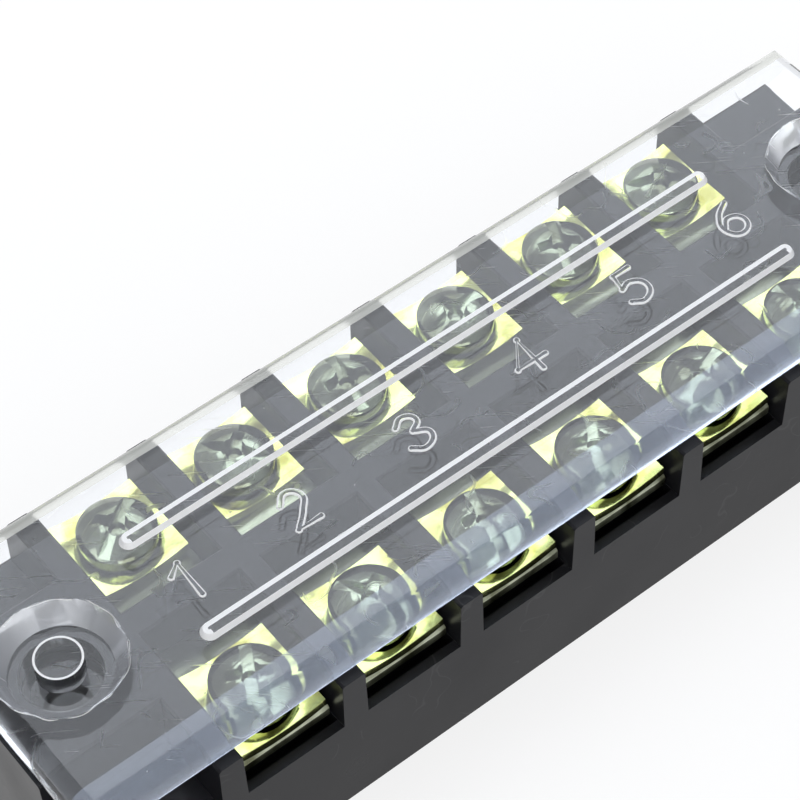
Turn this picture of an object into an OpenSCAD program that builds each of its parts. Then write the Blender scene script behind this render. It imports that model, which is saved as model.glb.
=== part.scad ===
// Barrier terminal strip, double row, with a clear push-on cover.
// Millimetres. X runs along the strip, Y across it, Z up; the origin is the
// middle of the underside. Poles count up along +X; "front" is the -Y row.

/* [Strip] */
// Number of poles along the strip
ways = 6; // [2:1:10]
// Distance from one pole to the next
pitch = 8.8; // [8.4:0.1:10]
// Width of the base across the strip
base_w = 22; // [21.5:0.5:26]
// Height of the seat that carries the conductors
seat_z = 8.8; // [8.6:0.1:12]

/* [Barriers] */
// Thickness of a barrier at its foot
barrier_t = 1.9; // [1.6:0.1:2.2]
// Slope taken off each side of a barrier by its top
barrier_draft = 0.12; // [0.05:0.01:0.25]
// Width of the top of the middle wall that parts the two rows
spine_w = 2; // [1.6:0.1:2.6]
// Bevel along the top edges of barriers, middle wall and lands
edge_break = 0.15; // [0.05:0.05:0.3]

/* [Wire entries] */
// Drop of the wire entry sill below the conductor seat
sill_drop = 0.25; // [0.1:0.05:0.6]
// Thickness of the outer wall below each wire entry
wall_t = 0.65; // [0.5:0.05:1]
// Width of the relief trench between the outer wall and the seat
trench_w = 1.3; // [0.8:0.1:1.4]
// Depth of the relief trench below the seat
trench_deep = 2.6; // [1:0.1:3]

/* [Ears] */
// Distance from the outermost barrier's middle to the mounting hole
hole_out = 4.1; // [4:0.1:7]
// Distance from the mounting hole to the end of the base
ear_end = 5.2; // [4.8:0.1:8]
// Width of the raised land around each mounting hole
land_w = 11; // [10:0.5:14]
// Radius of the mounting hole
hole_r = 2.1; // [1.8:0.05:2.2]
// Radius of the socket above the mounting hole
socket_r = 2.6; // [2.5:0.05:2.9]
// Depth of that socket
socket_deep = 3.2; // [2.8:0.1:5]

/* [Underside] */
// Width of the moulding cores in the underside
core_w = 6; // [4:0.1:6.4]
// Length of the moulding cores across the strip
core_l = 6.8; // [4:0.1:7]
// Web between a core and the screw well above it
core_web = 1.5; // [1:0.1:2.5]

/* [Conductor] */
// Thickness of a conductor
cond_t = 0.9; // [0.7:0.05:1.4]
// Gap between a conductor and the barrier on each side
cond_gap = 0.15; // [0.1:0.05:0.4]
// Distance of a conductor's end from the outer face of the base
cond_setback = 1.1; // [0.9:0.1:1.6]
// Bevel along the ends of a conductor
cond_bevel = 0.2; // [0.1:0.05:0.3]

/* [Clamp washer] */
// Thickness of a clamp washer
washer_t = 0.65; // [0.5:0.05:1]
// Length of a clamp washer across the strip
washer_l = 6.2; // [5.8:0.1:6.4]
// Gap between a clamp washer and the barrier on each side
washer_gap = 0.4; // [0.3:0.05:0.6]
// Radius that the clamp washer is bowed to
washer_bow = 13; // [10:1:60]
// Clearance of a clamp washer round the screw
washer_hole_gap = 0.2; // [0.1:0.05:0.4]

/* [Screw] */
// Radius of the screw over its thread
screw_r = 1.5; // [1.25:0.05:1.75]
// Length of the screw below its head
screw_l = 5; // [4:0.1:5.5]
// Radius of the screw head
head_r = 2.5; // [2.3:0.05:2.7]
// Height of the screw head
head_h = 1.65; // [1.5:0.05:2.2]
// Radius of the dome on the head
dome_r = 4; // [3.5:0.1:8]
// Width of the slot and of the cross arms
slot_w = 0.75; // [0.5:0.05:0.9]
// Depth of the slot below the top of the head
slot_deep = 0.75; // [0.5:0.05:1]
// Length of the cross arms
cross_l = 2.9; // [2:0.1:3.4]
// Depth of the cross at its middle
cross_deep = 1.15; // [0.8:0.05:1.3]
// Running clearance round the thread in the conductor
thread_gap = 0.05; // [0.02:0.01:0.1]
// Free depth below the screw's tip
tip_gap = 0.5; // [0.3:0.1:1]
// Clearance of the well round the screw
well_gap = 0.4; // [0.3:0.05:0.45]
// Clearance between pieces that lie on each other and move
rest_gap = 0.02; // [0.01:0.01:0.05]
// Room between the screw heads and the cover
head_room = 0.45; // [0.3:0.05:2]

/* [Cover] */
// Thickness of the cover plate
cover_t = 1.9; // [1.6:0.1:3]
// Width of the cover
cover_w = 20.7; // [18:0.1:21]
// Distance of the cover's ends from the ends of the base
cover_inset = 0.2; // [0:0.1:1]
// Radius along the top edges of the cover
cover_round = 1.5; // [0.8:0.1:1.5]
// Radius along the bottom edges of the cover
cover_ease = 0.3; // [0.1:0.05:0.35]
// Distance of each long rib from the middle
rib_y = 4.1; // [3.4:0.1:5]
// Width of a rib at its foot
rib_w = 1.25; // [1:0.05:2]
// Height of a rib above the plate
rib_h = 0.4; // [0.2:0.05:0.8]
// Distance of a rib's ends from the outermost barrier's middle
rib_short = 3.1; // [2:0.1:6]
// Radius of a cup at the top of the plate
cup_top_r = 4.1; // [3.8:0.1:4.4]
// Radius of a cup at its floor
cup_floor_r = 3.15; // [2.8:0.05:3.6]
// Thickness of a cup's floor
cup_floor_t = 0.45; // [0.3:0.05:0.8]
// Radius of the pin top in the middle of a cup
pin_r = 1.5; // [1.2:0.05:1.8]
// Clearance of the cover's spigot in the socket
spigot_gap = 0.08; // [0.05:0.01:0.2]
// Length of the spigot below the plate
spigot_l = 2.6; // [1.5:0.1:2.7]

/* [Hidden] */
$fn = 48;
cells_l = ways * pitch;
cell_w = pitch - barrier_t;
hole_x = cells_l / 2 + hole_out;
base_l = 2 * (hole_x + ear_end);
sill_z = seat_z - sill_drop;
cond_w = cell_w - 2 * cond_gap;
cond_l = base_w - 2 * cond_setback;
cond_top = seat_z + cond_t;
washer_w = cell_w - 2 * washer_gap;
screw_y = (cond_l - washer_l) / 2;
seat_end = base_w / 2 - wall_t - trench_w;
// a bowed washer is higher under the rim of the head than in its middle
rim_rise = (washer_bow - washer_t)
    - sqrt(pow(washer_bow - washer_t, 2) - pow(head_r, 2));
washer_z = cond_top + rest_gap;
head_z = washer_z + washer_t + rim_rise + rest_gap;
base_h = head_z + head_h + head_room;
well_z = head_z - screw_l - tip_gap;
core_z = well_z - core_web;
land_l = hole_out + ear_end;
cover_l = base_l - 2 * cover_inset;
cover_z = base_h;
cut = 0.5;

function pole_x(i) = (i - (ways + 1) / 2) * pitch;
// each screw was left at its own angle when it was tightened
function slot_angle(i, row) = row < 0 ? [62, 118, 75, 58, 20, 100][(i - 1) % 6]
    : [35, 128, 80, 10, 66, 150][(i - 1) % 6];

// Straight rib with sloping sides and bevelled top edges, running along Y
module ridge(run, top, draft, z0, z1) {
    foot = top / 2 + draft;
    rotate([90, 0, 0]) linear_extrude(run, center = true)
        polygon([[-foot, z0], [foot, z0], [top / 2, z1 - edge_break],
            [top / 2 - edge_break, z1], [edge_break - top / 2, z1],
            [-top / 2, z1 - edge_break]]);
}

// Box centred on X and Y that stands on z0
module slab(x, y, z0, z1) {
    translate([-x / 2, -y / 2, z0]) cube([x, y, z1 - z0]);
}

// Raised land round a mounting hole, joined to the outermost barrier
module land() {
    translate([land_l / 2, 0, 0]) rotate([0, 0, 90])
        ridge(land_l, land_w - 2 * barrier_draft, barrier_draft, sill_z - cut, base_h);
}

// Everything that one pole takes out of the base on one side of the middle wall
module cell_cuts() {
    translate([0, base_w / 2 - wall_t - trench_w / 2, 0])
        slab(cell_w, trench_w, seat_z - trench_deep, base_h);
    translate([0, screw_y, well_z]) cylinder(r = screw_r + well_gap, h = base_h);
    translate([0, screw_y, 0]) slab(core_w, core_l, -cut, core_z);
}

module base() {
    color([0.1, 0.1, 0.11]) difference() {
        union() {
            slab(base_l, base_w, 0, sill_z);
            slab(cells_l, 2 * seat_end, 0, seat_z);
            for (i = [0:ways]) translate([(i - ways / 2) * pitch, 0, 0])
                ridge(base_w, barrier_t - 2 * barrier_draft, barrier_draft,
                    sill_z - trench_deep, base_h);
            rotate([0, 0, 90]) ridge(cells_l, spine_w, barrier_draft, sill_z, base_h);
            for (s = [0, 1]) mirror([s, 0, 0]) translate([cells_l / 2, 0, 0]) land();
        }
        for (i = [1:ways]) translate([pole_x(i), 0, 0]) {
            for (s = [0, 1]) mirror([0, s, 0]) cell_cuts();
            slab(cond_w + 2 * rest_gap, 2 * seat_end + cut, seat_z, cond_top + rest_gap);
        }
        for (s = [-1, 1]) translate([s * hole_x, 0, 0]) {
            translate([0, 0, -cut]) cylinder(r = hole_r, h = base_h + 2 * cut);
            translate([0, 0, base_h - socket_deep]) cylinder(r = socket_r, h = socket_deep + cut);
        }
    }
}

// Brass strip that joins the front and rear screw of one pole
module conductor(i) {
    half = cond_l / 2;
    color([0.72, 0.68, 0.42]) translate([pole_x(i), 0, 0]) difference() {
        rotate([90, 0, 90]) linear_extrude(cond_w, center = true)
            polygon([[-half, seat_z], [half, seat_z],
                [half, cond_top - cond_bevel], [half - cond_bevel, cond_top],
                [cond_bevel - half, cond_top], [-half, cond_top - cond_bevel]]);
        for (s = [-1, 1]) translate([0, s * screw_y, seat_z - cut])
            cylinder(r = screw_r + thread_gap, h = cond_t + 2 * cut);
    }
}

// Square clamp washer, bowed so that its two sides stand up beside the screw
module washer(i, row) {
    color([0.80, 0.82, 0.42]) translate([pole_x(i), row * screw_y, washer_z])
        difference() {
            intersection() {
                slab(washer_w, washer_l, -cut, washer_bow / 2);
                translate([0, 0, washer_bow]) rotate([90, 0, 0]) difference() {
                    cylinder(r = washer_bow, h = washer_l, center = true, $fn = 96);
                    cylinder(r = washer_bow - washer_t, h = washer_l + cut,
                        center = true, $fn = 96);
                }
            }
            translate([0, 0, -cut])
                cylinder(r = screw_r + washer_hole_gap, h = washer_bow / 2);
        }
}

// Pan head screw with a slot and a cross in its head
module screw(i, row) {
    top = head_z + head_h;
    color([0.66, 0.72, 0.58]) translate([pole_x(i), row * screw_y, 0])
        rotate([0, 0, slot_angle(i, row)]) difference() {
            union() {
                intersection() {
                    translate([0, 0, head_z]) cylinder(r = head_r, h = head_h);
                    translate([0, 0, top - dome_r]) sphere(r = dome_r);
                }
                translate([0, 0, head_z - screw_l + screw_r / 2])
                    cylinder(r = screw_r, h = screw_l);
                translate([0, 0, head_z - screw_l])
                    cylinder(r1 = screw_r / 2, r2 = screw_r, h = screw_r / 2);
            }
            slab(2 * head_r + cut, slot_w, top - slot_deep, top + cut);
            slab(slot_w, cross_l, top - slot_deep, top + cut);
            translate([0, 0, top - cross_deep])
                cylinder(r1 = slot_w / 2, r2 = cross_l / 3, h = cross_deep + cut);
        }
}

// Plate section across an edge: well rounded above, slightly below
module plate_section(w) {
    flat = w - 2 * cover_round;
    foot = w - 2 * cover_ease;
    shoulder = cover_t - cover_round;
    translate([-flat / 2, 0]) square([flat, cover_t]);
    translate([-foot / 2, 0]) square([foot, shoulder]);
    translate([-w / 2, cover_ease]) square([w, shoulder - cover_ease]);
    for (s = [-1, 1]) {
        translate([s * foot / 2, cover_ease]) circle(cover_ease);
        translate([s * flat / 2, shoulder]) intersection() {
            circle(cover_round);
            translate([-cover_round, 0]) square(2 * cover_round);
        }
    }
}

// Long rib on the cover with round ends and sloping sides
module rib() {
    reach = cells_l / 2 - rib_short - rib_w / 2;
    slope = rib_h / 2;
    rotate([90, 0, 90]) linear_extrude(2 * reach, center = true)
        polygon([[-rib_w / 2, -cut / 2], [rib_w / 2, -cut / 2], [rib_w / 2, 0],
            [rib_w / 2 - slope, rib_h], [slope - rib_w / 2, rib_h], [-rib_w / 2, 0]]);
    for (s = [-1, 1]) translate([s * reach, 0, 0]) {
        cylinder(r1 = rib_w / 2, r2 = rib_w / 2 - slope, h = rib_h);
        translate([0, 0, -cut / 2]) cylinder(r = rib_w / 2, h = cut / 2);
    }
}

module cover() {
    color([0.85, 0.86, 0.9, 0.35]) translate([0, 0, cover_z]) {
        difference() {
            intersection() {
                rotate([90, 0, 90]) linear_extrude(cover_l, center = true)
                    plate_section(cover_w);
                rotate([90, 0, 0]) linear_extrude(cover_w, center = true)
                    plate_section(cover_l);
            }
            for (s = [-1, 1]) translate([s * hole_x, 0, cup_floor_t]) difference() {
                cylinder(r1 = cup_floor_r, r2 = cup_top_r, h = cover_t - cup_floor_t);
                cylinder(r = pin_r, h = cover_t);
            }
        }
        for (s = [-1, 1]) {
            translate([0, s * rib_y, cover_t]) rib();
            translate([s * hole_x, 0, -spigot_l])
                cylinder(r = socket_r - spigot_gap, h = spigot_l + cup_floor_t / 2);
        }
    }
}

base();
cover();
for (i = [1:ways]) {
    conductor(i);
    washer(i, -1);
    washer(i, 1);
    screw(i, -1);
    screw(i, 1);
}
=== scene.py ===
"""Dresses the barrier terminal strip: finishes, pole numbers, light, ground and camera."""

import math

import bpy
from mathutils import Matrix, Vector


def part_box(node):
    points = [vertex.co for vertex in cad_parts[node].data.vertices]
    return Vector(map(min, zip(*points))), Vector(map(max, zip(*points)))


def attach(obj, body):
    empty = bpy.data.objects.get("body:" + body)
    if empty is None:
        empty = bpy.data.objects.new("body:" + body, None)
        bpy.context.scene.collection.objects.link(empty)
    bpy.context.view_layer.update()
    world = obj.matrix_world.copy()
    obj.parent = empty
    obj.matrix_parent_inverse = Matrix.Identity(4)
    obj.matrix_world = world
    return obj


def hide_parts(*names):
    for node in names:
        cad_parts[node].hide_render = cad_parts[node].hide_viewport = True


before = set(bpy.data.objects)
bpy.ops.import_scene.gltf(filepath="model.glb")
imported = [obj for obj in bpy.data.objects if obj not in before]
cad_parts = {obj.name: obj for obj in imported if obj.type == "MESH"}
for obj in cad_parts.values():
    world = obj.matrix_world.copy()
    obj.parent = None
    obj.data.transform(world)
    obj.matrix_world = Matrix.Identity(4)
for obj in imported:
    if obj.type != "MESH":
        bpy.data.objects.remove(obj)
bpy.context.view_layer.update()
MM = 0.001
POLES = 6


# ---- Tools ------------------------------------------------------------------
# Short ways to pick objects, copy a CAD piece with eased edges, and build
# shader nodes. Every piece and every material below is made with them.

MERGE = 0.002 * MM
FLAT_ANGLE = math.radians(0.4)
SHARP_ANGLE = math.radians(25)
FACE_WEIGHT = 100


def pick(*objects):
    """Selects only these objects and makes the first one active."""
    bpy.ops.object.select_all(action="DESELECT")
    for item in objects:
        item.select_set(True)
    bpy.context.view_layer.objects.active = objects[0]


def add_object(name, data):
    """Puts a new object that holds this data into the scene."""
    item = bpy.data.objects.new(name, data)
    bpy.context.scene.collection.objects.link(item)
    return item


def finished_copy(node, radius, body):
    """Copies a CAD piece, joins its loose triangles and eases its sharp edges."""
    prefix = "moulded_" if body in ("base", "cover") else "metal_"
    piece = add_object(prefix + node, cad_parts[node].data.copy())
    pick(piece)
    bpy.ops.mesh.customdata_custom_splitnormals_clear()
    bpy.ops.object.mode_set(mode="EDIT")
    bpy.ops.mesh.select_all(action="SELECT")
    bpy.ops.mesh.remove_doubles(threshold=MERGE)
    bpy.ops.mesh.dissolve_limited(angle_limit=FLAT_ANGLE)
    bpy.ops.object.mode_set(mode="OBJECT")
    if radius:
        bevel = piece.modifiers.new("eased_edges", "BEVEL")
        bevel.width = radius
        bevel.segments = 2
        bevel.limit_method = "ANGLE"
        bevel.angle_limit = SHARP_ANGLE
        bpy.ops.object.modifier_apply(modifier=bevel.name)
        bpy.ops.object.shade_smooth_by_angle(angle=SHARP_ANGLE)
        # large faces keep their own normal, so flat walls are shaded flat
        flatten = piece.modifiers.new("flat_faces", "WEIGHTED_NORMAL")
        flatten.weight = FACE_WEIGHT
        flatten.keep_sharp = True
        bpy.ops.object.modifier_apply(modifier=flatten.name)
    piece.data.materials.clear()
    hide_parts(node)
    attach(piece, body)
    return piece


def set_inputs(tree, node, inputs):
    """Links each input to an output socket, or gives it a value."""
    for name, value in inputs.items():
        if isinstance(value, bpy.types.NodeSocket):
            tree.links.new(value, node.inputs[name])
        else:
            node.inputs[name].default_value = value


def add_node(tree, kind, inputs, **options):
    """Adds a node, sets its options first and then its inputs."""
    node = tree.nodes.new(kind)
    for name, value in options.items():
        setattr(node, name, value)
    set_inputs(tree, node, inputs)
    return node


def noise(tree, vector, scale, detail=2.0):
    """Soft random grey; a scale of 1000 makes features about 1 mm across."""
    return add_node(tree, "ShaderNodeTexNoise",
                    {"Vector": vector, "Scale": scale, "Detail": detail}).outputs["Fac"]


def stretched(tree, vector, scale):
    """The same coordinates scaled along each axis."""
    return add_node(tree, "ShaderNodeMapping", {"Vector": vector, "Scale": scale}).outputs["Vector"]


def maths(tree, operation, *values):
    """One arithmetic step on sockets or numbers."""
    return add_node(tree, "ShaderNodeMath", dict(enumerate(values)),
                    operation=operation).outputs["Value"]


def between(tree, share, low, high):
    """Turns a share from 0 to 1 into a value from low to high."""
    return add_node(tree, "ShaderNodeMapRange",
                    {"Value": share, "To Min": low, "To Max": high}).outputs["Result"]


def step(tree, value, low, high, to_low=0.0, to_high=1.0):
    """A soft step from to_low to to_high while the value goes from low to high."""
    return add_node(tree, "ShaderNodeMapRange",
                    {"Value": value, "From Min": low, "From Max": high,
                     "To Min": to_low, "To Max": to_high},
                    interpolation_type="SMOOTHSTEP").outputs["Result"]


def mixed_colour(tree, factor, first, second):
    """Goes from the first colour to the second as the factor goes from 0 to 1."""
    return add_node(tree, "ShaderNodeMix", {"Factor": factor, "A": first, "B": second},
                    data_type="RGBA").outputs["Result"]


def bumped(tree, height, strength, distance):
    """A normal that a height tilts by this strength and distance."""
    return add_node(tree, "ShaderNodeBump",
                    {"Height": height, "Strength": strength, "Distance": distance}).outputs["Normal"]


def start_material(name):
    """An empty material with its Principled shader and the Object coordinates."""
    material = bpy.data.materials.new(name)
    material.use_nodes = True
    tree = material.node_tree
    tree.nodes.clear()
    shader = add_node(tree, "ShaderNodeBsdfPrincipled", {})
    add_node(tree, "ShaderNodeOutputMaterial", {"Surface": shader.outputs["BSDF"]})
    place = add_node(tree, "ShaderNodeTexCoord", {}).outputs["Object"]
    return material, tree, shader, place


def handling_marks():
    """Hairlines, curls and specks left by handling, as masks from 0 to 1."""
    group = bpy.data.node_groups.new("Handling marks", "ShaderNodeTree")
    group.interface.new_socket("Vector", in_out="INPUT", socket_type="NodeSocketVector")
    group.interface.new_socket("Curl Size", in_out="INPUT", socket_type="NodeSocketFloat")
    for name in ("Curls", "Hairlines", "Specks"):
        group.interface.new_socket(name, in_out="OUTPUT", socket_type="NodeSocketFloat")
    enter = group.nodes.new("NodeGroupInput")
    place = enter.outputs["Vector"]

    # a curl is where a broad noise crosses its middle value, kept in a few patches only
    broad = noise(group, place, enter.outputs["Curl Size"], 1.0)
    crossing = maths(group, "ABSOLUTE", maths(group, "SUBTRACT", broad, 0.5))
    kept = step(group, maths(group, "ADD", noise(group, place, 420.0, 0.0), 0.05), 0.60, 0.68)
    curls = maths(group, "MULTIPLY", step(group, crossing, 0.0, 0.012, 1.0, 0.0), kept)

    turned = add_node(group, "ShaderNodeVectorRotate", {"Vector": place, "Angle": 0.6},
                      rotation_type="Z_AXIS").outputs["Vector"]
    streaks = noise(group, stretched(group, turned, (1.0, 42.0, 1.0)), 190.0, 1.0)
    hairlines = step(group, streaks, 0.735, 0.78)

    cells = add_node(group, "ShaderNodeTexVoronoi", {"Vector": place, "Scale": 900.0})
    specks = maths(group, "MULTIPLY", step(group, cells.outputs["Distance"], 0.03, 0.08, 1.0, 0.0),
                   step(group, noise(group, place, 700.0, 0.0), 0.62, 0.66))
    add_node(group, "NodeGroupOutput", {"Curls": curls, "Hairlines": hairlines, "Specks": specks})
    return group


MARKS = handling_marks()


def add_marks(tree, place, curl_size):
    """The handling marks' three masks at this place."""
    return add_node(tree, "ShaderNodeGroup", {"Vector": place, "Curl Size": curl_size},
                    node_tree=MARKS).outputs


# ---- Base -------------------------------------------------------------------
# One satin black moulding that carries everything. Its edges are slightly
# rounded by the mould, and its outer walls show faint scuffs and flow marks.

BLACK = (0.012, 0.012, 0.014, 1)
SCUFFED_BLACK = (0.03, 0.03, 0.032, 1)


def black_moulding():
    """Satin black thermoplastic: fine grain, soft flow marks, grey scuffs."""
    material, tree, shader, place = start_material("Black moulding")
    marks = add_marks(tree, place, 330.0)
    scuffs = maths(tree, "MAXIMUM", marks["Curls"], marks["Specks"])
    set_inputs(tree, shader, {
        "Specular IOR Level": 0.14,
        "Roughness": between(tree, noise(tree, place, 160.0, 4.0), 0.22, 0.42),
        "Base Color": mixed_colour(tree, scuffs, BLACK, SCUFFED_BLACK),
        "Normal": bumped(tree, noise(tree, place, 2600.0), 0.03, 0.02 * MM),
    })
    return material


base = finished_copy("base", 0.07 * MM, "base")
base.data.materials.append(black_moulding())


# ---- Conductors, clamp washers and screws -----------------------------------
# Brass and steel with a thin yellow-green passivated plating. The strips are
# sheared from sheet, so their ends are paler and rougher than their tops, whose
# dark tone is also painted shade under the cover.

STAIN = (0.16, 0.15, 0.08, 1)
END_FACE = 0.5


def passivated_metal(name, pale, deep, ramp, stretch, rough, relief):
    """Plated metal that drifts from deep to pale over the ramp's two positions."""
    material, tree, shader, place = start_material(name)
    drift = noise(tree, stretched(tree, place, (stretch, 1.0, 1.0)), 420.0, 4.0)
    tone = add_node(tree, "ShaderNodeValToRGB", {"Fac": drift})
    for element, position, colour in zip(tone.color_ramp.elements, ramp, (deep, pale)):
        element.position = position
        element.color = (*colour, 1)
    specks = add_marks(tree, place, 500.0)["Specks"]
    set_inputs(tree, shader, {
        "Metallic": 1.0,
        "Base Color": mixed_colour(tree, specks, tone.outputs["Color"], STAIN),
        "Roughness": between(tree, drift, rough * 0.6, rough * 1.5),
        "Normal": bumped(tree, noise(tree, place, 900.0, 3.0), relief, 0.05 * MM),
    })
    return material


# the strips' tops get a deep, dark tone: painted shade, as they lie in shade under the cover and
# washers
brass_with_painted_shade = passivated_metal("Plated brass with painted shade", pale=(0.55, 0.60, 0.42), deep=(0.07, 0.075, 0.05),
                                ramp=(0.52, 0.74), stretch=0.12, rough=0.2, relief=0.1)
yellow_plating = passivated_metal("Yellow passivated steel", pale=(0.80, 0.87, 0.34),
                                  deep=(0.38, 0.36, 0.08), ramp=(0.34, 0.58), stretch=1.0,
                                  rough=0.1, relief=0.12)
green_plating = passivated_metal("Pale passivated steel", pale=(0.42, 0.48, 0.35),
                                 deep=(0.13, 0.14, 0.085), ramp=(0.40, 0.64), stretch=1.0,
                                 rough=0.1, relief=0.14)
sheared_brass = passivated_metal("Sheared brass", pale=(0.70, 0.74, 0.55), deep=(0.24, 0.25, 0.15),
                                 ramp=(0.36, 0.60), stretch=1.4, rough=0.3, relief=0.25)

for pole in range(1, POLES + 1):
    strip = finished_copy(f"conductor_{pole}", 0.04 * MM, "base")
    strip.data.materials.append(brass_with_painted_shade)
    strip.data.materials.append(sheared_brass)
    for face in strip.data.polygons:
        face.material_index = 1 if abs(face.normal.y) > END_FACE else 0
    for row in ("front", "rear"):
        clamp, fastener = f"washer_{row}_{pole}", f"screw_{row}_{pole}"
        washer = finished_copy(clamp, 0.05 * MM, clamp)
        washer.data.materials.append(yellow_plating)
        screw = finished_copy(fastener, 0.06 * MM, fastener)
        screw.data.materials.append(green_plating)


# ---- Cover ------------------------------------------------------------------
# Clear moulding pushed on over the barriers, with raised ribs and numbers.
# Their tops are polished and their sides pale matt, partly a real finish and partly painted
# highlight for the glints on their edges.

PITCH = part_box("conductor_2")[0].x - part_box("conductor_1")[0].x
cover_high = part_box("cover")[1]
RIB_H = 0.4 * MM
RIB_Y = 4.1 * MM
PLATE_TOP = cover_high.z - RIB_H
HOLE_X = POLES / 2 * PITCH + 4.1 * MM

# the figures: size, stroke, height over the plate, depth in it and slant
DIGIT_H = 3.2 * MM
DIGIT_W = 2.5 * MM
STROKE = 0.48 * MM
RAISED = 0.10 * MM
SUNK = 0.12 * MM
FLATTEN = 0.48
SLANT = math.tan(math.radians(2))

# the fine painted dark lines, painted shade where the plate's edges start to show their painted
# sheen
FRONT_LINE = -7.9 * MM
REAR_LINE = 8.95 * MM
LINE_W = 0.08 * MM

# how near a face lies to a level, and how far up a level face looks
HAIR = 0.01 * MM
NEAR = 0.02 * MM
LEVEL = 0.99

# centre lines in shares of the figure's width and height; "c" points are corners
FIGURES = {
    1: [(-0.25, 0.77, "c"), (0.08, 1.0, "c"), (0.08, 0.0, "c")],
    2: [(-0.30, 0.76, ""), (0.02, 1.0, ""), (0.32, 0.74, ""), (0.10, 0.38, ""),
        (-0.32, 0.0, "c"), (0.34, 0.0, "c")],
    3: [(-0.30, 0.84, ""), (0.0, 1.0, ""), (0.28, 0.77, ""), (0.0, 0.54, "c"),
        (0.34, 0.27, ""), (0.0, 0.0, ""), (-0.34, 0.18, "")],
    4: [(0.12, 0.0, "c"), (0.12, 1.0, "c"), (-0.44, 0.30, "c"), (0.44, 0.30, "c")],
    5: [(0.30, 1.0, "c"), (-0.20, 1.0, "c"), (-0.28, 0.56, "c"), (0.04, 0.64, ""),
        (0.34, 0.32, ""), (0.0, 0.0, ""), (-0.34, 0.14, "")],
    6: [(0.26, 0.98, ""), (-0.16, 0.72, ""), (-0.33, 0.30, ""), (0.0, 0.0, ""),
        (0.33, 0.29, ""), (0.0, 0.57, ""), (-0.31, 0.34, "")],
}

# each figure's offset in mm from the middle of its pole, set against the photo
WANDER = {1: (0.35, -0.35), 2: (-0.35, -0.3), 3: (-0.2, -0.3),
          4: (0.1, -0.1), 5: (0.15, 0.0), 6: (-0.1, 0.2)}


def raised_figure(value, centre_x):
    """One figure as a stroke with sloping sides and a flat top, on the plate."""
    stroke = FIGURES[value]
    curve = bpy.data.curves.new("stroke", "CURVE")
    curve.dimensions = "3D"
    curve.bevel_depth = STROKE / 2
    curve.bevel_resolution = 4
    curve.resolution_u = 8
    curve.use_fill_caps = True
    spline = curve.splines.new("BEZIER")
    spline.bezier_points.add(len(stroke) - 1)
    for point, (x, y, kind) in zip(spline.bezier_points, stroke):
        along = (y - 0.5) * (DIGIT_H - STROKE)
        point.co = (centre_x + WANDER[value][0] * MM + x * DIGIT_W + along * SLANT,
                    WANDER[value][1] * MM + along, PLATE_TOP)
        point.handle_left_type = point.handle_right_type = "VECTOR" if kind == "c" else "AUTO"
    parts = [add_object("stroke", curve)]
    # a ball rounds off each end and fills each corner
    for index, point in enumerate(spline.bezier_points):
        if index in (0, len(stroke) - 1) or stroke[index][2] == "c":
            bpy.ops.mesh.primitive_uv_sphere_add(segments=20, ring_count=10, radius=STROKE / 2,
                                                 location=point.co)
            parts.append(bpy.context.object)
    pick(*parts)
    bpy.ops.object.convert(target="MESH")
    bpy.ops.object.join()
    figure = bpy.context.object
    bpy.ops.object.transform_apply(location=True, rotation=True, scale=True)
    for vertex in figure.data.vertices:
        rise = (vertex.co.z - PLATE_TOP) * FLATTEN
        vertex.co.z = PLATE_TOP + max(min(rise, RAISED), -SUNK)
    return figure


def cup_flash(side):
    """The thin uneven ring of flash round the cup at one end of the cover."""
    curve = bpy.data.curves.new("flash", "CURVE")
    curve.dimensions = "3D"
    curve.bevel_depth = 0.07 * MM
    curve.bevel_resolution = 1
    count = 96
    spline = curve.splines.new("POLY")
    spline.points.add(count - 1)
    for index, point in enumerate(spline.points):
        angle = math.tau * index / count
        out = (4.08 + 0.07 * math.sin(5 * angle + side) + 0.05 * math.sin(13 * angle)) * MM
        point.co = (side * HOLE_X + out * math.cos(angle), out * math.sin(angle),
                    PLATE_TOP + 0.02 * MM * math.sin(7 * angle), 1)
        point.radius = 0.75 + 0.5 * math.sin(3 * angle + side) * math.sin(17 * angle)
    spline.use_cyclic_u = True
    flash = add_object("flash", curve)
    pick(flash)
    bpy.ops.object.convert(target="MESH")
    return flash


def inset_faces(piece, chosen, thickness):
    """Insets the faces that the test picks, as one region."""
    bpy.ops.object.mode_set(mode="EDIT")
    bpy.ops.mesh.select_mode(type="FACE")
    bpy.ops.mesh.select_all(action="DESELECT")
    bpy.ops.object.mode_set(mode="OBJECT")
    for face in piece.data.polygons:
        face.select = chosen(face)
    bpy.ops.object.mode_set(mode="EDIT")
    bpy.ops.mesh.inset(thickness=thickness)


def from_hole(face):
    """How far a face lies from the nearer mounting hole's axis."""
    return math.hypot(abs(face.center.x) - HOLE_X, face.center.y)


def is_rib_top(face):
    """Whether a face is the level top of a rib."""
    return face.normal.z > LEVEL and face.center.z > cover_high.z - NEAR


def is_pin_top(face):
    """Whether a face is the level top of the pin in a cup."""
    return (face.normal.z > LEVEL and abs(face.center.z - PLATE_TOP) < NEAR
            and from_hole(face) < 1.5 * MM)


cover = finished_copy("cover", 0, "cover")

# lift the cover's underside a hair off the barriers, so the two never share a plane
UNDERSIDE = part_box("base")[1].z
SEATING = 0.04 * MM
for vertex in cover.data.vertices:
    if abs(vertex.co.z - UNDERSIDE) < 0.001 * MM:
        vertex.co.z += SEATING

details = [raised_figure(pole, (pole - (POLES + 1) / 2) * PITCH) for pole in range(1, POLES + 1)]
details += [cup_flash(side) for side in (-1, 1)]
pick(*details)
bpy.ops.object.join()
numbers = bpy.context.object
pick(cover)
union = cover.modifiers.new("numbers", "BOOLEAN")
union.operation = "UNION"
union.solver = "EXACT"
union.use_self = True
union.object = numbers
bpy.ops.object.modifier_apply(modifier=union.name)
bpy.data.objects.remove(numbers)
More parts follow.
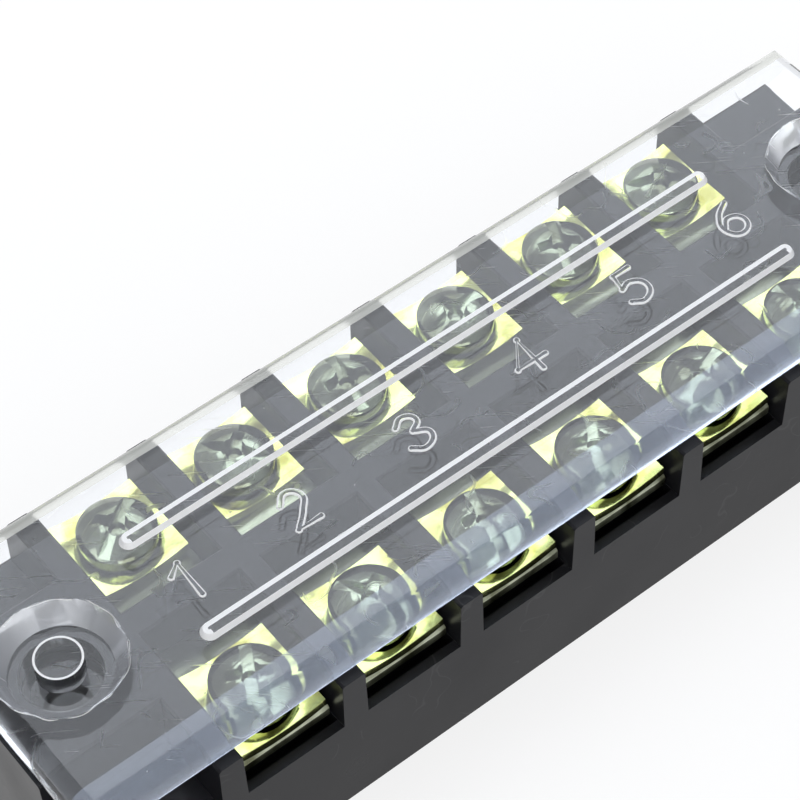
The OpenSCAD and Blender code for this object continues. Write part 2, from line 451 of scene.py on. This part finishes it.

# edge strips on the rib tops for the painted glint along each far edge, and cuts along the two
# painted dark lines
inset_faces(cover, is_rib_top, 0.32 * MM)
for line in (FRONT_LINE - LINE_W, FRONT_LINE, REAR_LINE, REAR_LINE + LINE_W):
    bpy.ops.mesh.select_all(action="SELECT")
    bpy.ops.mesh.bisect(plane_co=(0, line, 0), plane_no=(0, 1, 0))
# a ring round each pin's top, made pale matt below as painted highlight on its rim
inset_faces(cover, is_pin_top, 0.14 * MM)
bpy.ops.object.mode_set(mode="OBJECT")
bpy.ops.object.shade_smooth_by_angle(angle=math.radians(30))


def clear_moulding(name, matt, tint=(0.89, 0.90, 0.92)):
    """Clear plastic; matt is how rough and milky the mould left it, and tint its colour, which on
    some edges and lines is painted sheen or shade.
    """
    material, tree, shader, place = start_material(name)
    marks = add_marks(tree, place, 210.0)
    lines = maths(tree, "MAXIMUM", marks["Curls"], marks["Hairlines"])
    worn = maths(tree, "MAXIMUM", lines, marks["Specks"])
    paler = tuple(min(1.0, part + 0.08) for part in tint)
    height = maths(tree, "MULTIPLY_ADD", worn, 0.4, noise(tree, place, 120.0))
    set_inputs(tree, shader, {
        "IOR": 1.5,
        "Transmission Weight": 1.0 - 0.85 * matt,
        "Roughness": between(tree, worn, 0.03 + 0.4 * matt, 0.45),
        "Base Color": mixed_colour(tree, worn, (*tint, 1), (*paler, 1)),
        "Normal": bumped(tree, height, 0.25, 0.03 * MM),
    })
    # lamps shine straight through the clear plate
    through = add_node(tree, "ShaderNodeBsdfTransparent", {"Color": (0.9, 0.91, 0.93, 1)})
    rays = add_node(tree, "ShaderNodeLightPath", {})
    choose = add_node(tree, "ShaderNodeMixShader",
                      {"Fac": rays.outputs["Is Shadow Ray"], 1: shader.outputs["BSDF"],
                       2: through.outputs["BSDF"]})
    output = next(node for node in tree.nodes if node.type == "OUTPUT_MATERIAL")
    set_inputs(tree, output, {"Surface": choose.outputs["Shader"]})
    return material


for cover_surface in (clear_moulding("Clear cover", 0.0),
               clear_moulding("Matt sides and painted glints of ribs and figures", 1.0, (1.0, 1.0, 1.0)),
               clear_moulding("Milky walls of the cups", 0.35, (0.86, 0.88, 0.92)),
               clear_moulding("Painted sheen on front edge", 0.24, (0.74, 0.82, 0.97)),
               clear_moulding("Painted sheen on rear edge", 0.55, (0.84, 0.84, 0.77)),
               clear_moulding("Painted dark line", 0.25, (0.20, 0.21, 0.24))):
    cover.data.materials.append(cover_surface)
CLEAR, MATT_AND_PAINTED_GLINT, MILKY, PAINTED_SHEEN_FRONT, PAINTED_SHEEN_REAR, PAINTED_DARK_LINE = range(6)


def cover_material_index(face):
    """Which of the cover's six materials a face gets, finishes and painted sheen, glint and shade
    among them.
    """
    _, y, z = face.center
    away = from_hole(face)
    on_rib_top = z > cover_high.z - NEAR
    # the strip along a rib's far edge, and the small faces at its corners: pale matt as a painted
    # glint
    painted_glint_strip = on_rib_top and (y - math.copysign(RIB_Y, y) > 0.15 * MM
                               or face.area < 0.2 * MM * MM)
    # sides of ribs, figures and flash are pale matt, partly a real mould finish and partly painted
    # highlight for the glints of their edges
    if z > PLATE_TOP + HAIR and (face.normal.z < 0.97 or painted_glint_strip):
        return MATT_AND_PAINTED_GLINT
    # the ring round each pin's top is pale matt: painted highlight on its rim
    if 1.3 * MM < away < 1.7 * MM and z > PLATE_TOP - 0.5 * MM and face.area < 0.3 * MM * MM:
        return MATT_AND_PAINTED_GLINT
    if away < 4.2 * MM and 0.4 < face.normal.z < 0.7:
        return MILKY
    # a thin dark band along each of the two lines: painted shade seen through the plate
    if z > PLATE_TOP - HAIR and (FRONT_LINE - LINE_W < y < FRONT_LINE
                                 or REAR_LINE < y < REAR_LINE + LINE_W):
        return PAINTED_DARK_LINE
    # the front edge band's lilac, milky tint is painted sheen: a painted reflection of the
    # surroundings
    if z > UNDERSIDE + 0.2 * MM and y < FRONT_LINE:
        return PAINTED_SHEEN_FRONT
    # the rear edge band's beige, milky tint is painted sheen
    if z > UNDERSIDE + 0.2 * MM and y > REAR_LINE:
        return PAINTED_SHEEN_REAR
    return CLEAR


for face in cover.data.polygons:
    face.material_index = cover_material_index(face)


# ---- Ground, light and camera -------------------------------------------------
# A white ground, a pale room, one large soft light behind the strip, one in
# front and one to its left, and a long lens from the front left.

GLOW_SHARE = 0.72

bpy.ops.mesh.primitive_plane_add(size=3.0)
ground = bpy.context.object
ground.name = "ground"
white = bpy.data.materials.new("White ground")
white.use_nodes = True
tree = white.node_tree
tree.nodes.clear()
paper = add_node(tree, "ShaderNodeBsdfDiffuse", {"Color": (0.86, 0.86, 0.86, 1)})
glow = add_node(tree, "ShaderNodeEmission", {"Strength": 1.08})
# the glow shows directly, in reflections and through clear plastic, but lights nothing matt
rays = add_node(tree, "ShaderNodeLightPath", {}).outputs
seen = maths(tree, "MAXIMUM", rays["Is Camera Ray"], rays["Is Glossy Ray"])
seen = maths(tree, "MAXIMUM", seen, rays["Is Transmission Ray"])
blend = add_node(tree, "ShaderNodeMixShader",
                 {"Fac": maths(tree, "MULTIPLY", seen, GLOW_SHARE),
                  1: paper.outputs["BSDF"], 2: glow.outputs["Emission"]})
add_node(tree, "ShaderNodeOutputMaterial", {"Surface": blend.outputs["Shader"]})
ground.data.materials.append(white)

world = bpy.data.worlds.new("Pale room")
bpy.context.scene.world = world
world.use_nodes = True
set_inputs(world.node_tree, world.node_tree.nodes["Background"],
           {"Color": (0.93, 0.95, 1.0, 1), "Strength": 0.45})


def soft_light(name, at, aim, width, height, watts, tint):
    """A rectangular diffused lamp that faces a point on the strip."""
    lamp = bpy.data.lights.new(name, "AREA")
    lamp.shape = "RECTANGLE"
    lamp.size = width
    lamp.size_y = height
    lamp.energy = watts
    lamp.color = tint
    holder = add_object(name, lamp)
    holder.location = at
    holder.rotation_euler = (Vector(aim) - Vector(at)).to_track_quat("-Z", "Y").to_euler()


soft_light("overhead_light", at=(0.19, 0.24, 0.42), aim=(0, 0, 0.014),
           width=0.56, height=0.36, watts=1.45, tint=(0.88, 0.93, 1))
soft_light("front_light", at=(-0.15, -0.42, 0.30), aim=(0, 0, 0.01),
           width=0.30, height=0.30, watts=0.8, tint=(1, 0.99, 0.97))
soft_light("left_light", at=(-0.45, 0.05, 0.30), aim=(0, 0, 0),
           width=0.30, height=0.30, watts=0.35, tint=(1, 0.99, 0.97))

camera_data = bpy.data.cameras.new("camera")
camera_data.lens = 120.27
camera_data.sensor_width = 36
camera_data.shift_y = 0.005
camera_data.clip_start = 0.01
camera = add_object("camera", camera_data)
camera.location = (-0.0639, -0.0787, 0.1444)
camera.rotation_euler = (math.radians(37.75), math.radians(1.35), math.radians(-38.39))
bpy.context.scene.camera = camera
bpy.context.scene.view_settings.view_transform = "Standard"

# light crosses many clear surfaces in the cover before it leaves
cycles = bpy.context.scene.cycles
cycles.max_bounces = 24
cycles.glossy_bounces = 16
cycles.transmission_bounces = 16
